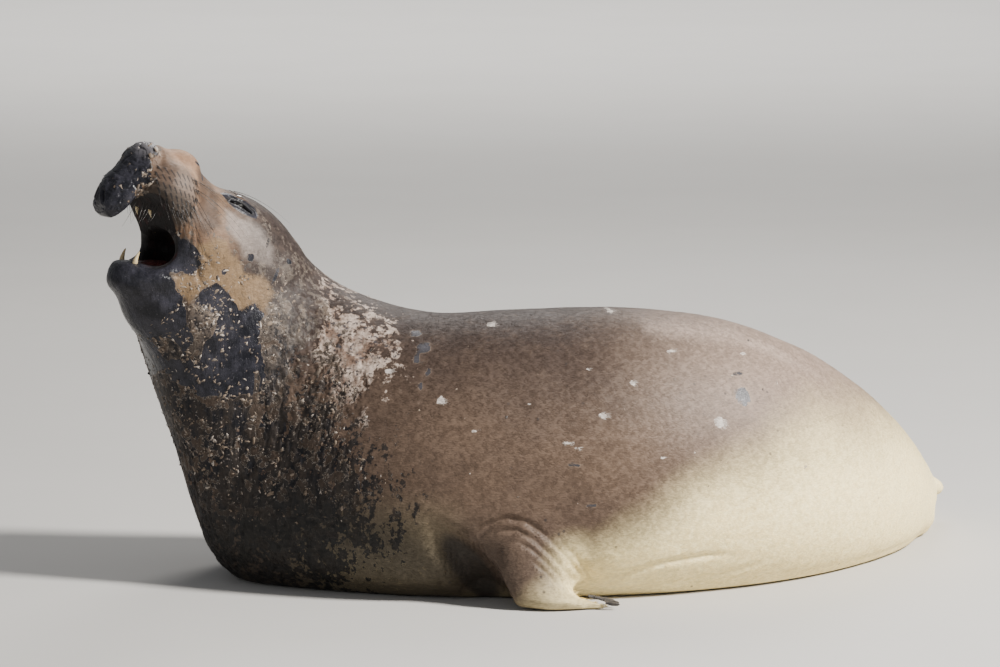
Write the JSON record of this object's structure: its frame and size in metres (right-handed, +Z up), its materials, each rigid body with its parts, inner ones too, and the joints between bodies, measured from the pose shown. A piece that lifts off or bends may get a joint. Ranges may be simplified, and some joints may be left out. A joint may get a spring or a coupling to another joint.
{
  "type": "elephant seal",
  "caption": "Life-size still model of a sub-adult male northern elephant seal lying on its belly, head raised and turned, mouth wide open, hindquarters curved round.",
  "frame": {"origin": "middle of the box round the seal, on the ground it lies on", "axes": "+X runs along the trunk from the head side to the tail side, +Y is away from the side that the picture shows, +Z up"},
  "size_m": [2.2032, 1.6254, 1.1212],
  "materials": {
    "hide": "short flat brown hair on thick skin, cream on the flanks and rump, moulting",
    "bare_skin": "dark blue-grey bare skin with peeling edges",
    "eye": "wet and dark",
    "mouth": "wet pink flesh",
    "tooth": "yellowed enamel",
    "claw": "dark horn"
  },
  "bodies": {
    "root": {"head": "hide", "proboscis": "bare_skin", "lower_jaw": "bare_skin", "neck": "hide", "chest": "hide", "abdomen": "hide", "rump": "hide", "tail": "hide", "foreflipper_left": "hide", "foreflipper_right": "hide", "hind_flipper_left": "hide", "hind_flipper_right": "hide", "eye_left": "eye", "eye_right": "eye", "tongue": "mouth", "canine_lower_left": "tooth", "canine_lower_right": "tooth", "canine_upper_left": "tooth", "canine_upper_right": "tooth", "nail_left_1": "claw", "nail_left_2": "claw", "nail_left_3": "claw", "nail_left_4": "claw", "nail_left_5": "claw", "nail_right_1": "claw", "nail_right_2": "claw", "nail_right_3": "claw", "nail_right_4": "claw", "nail_right_5": "claw"}
  },
  "joints": []
}
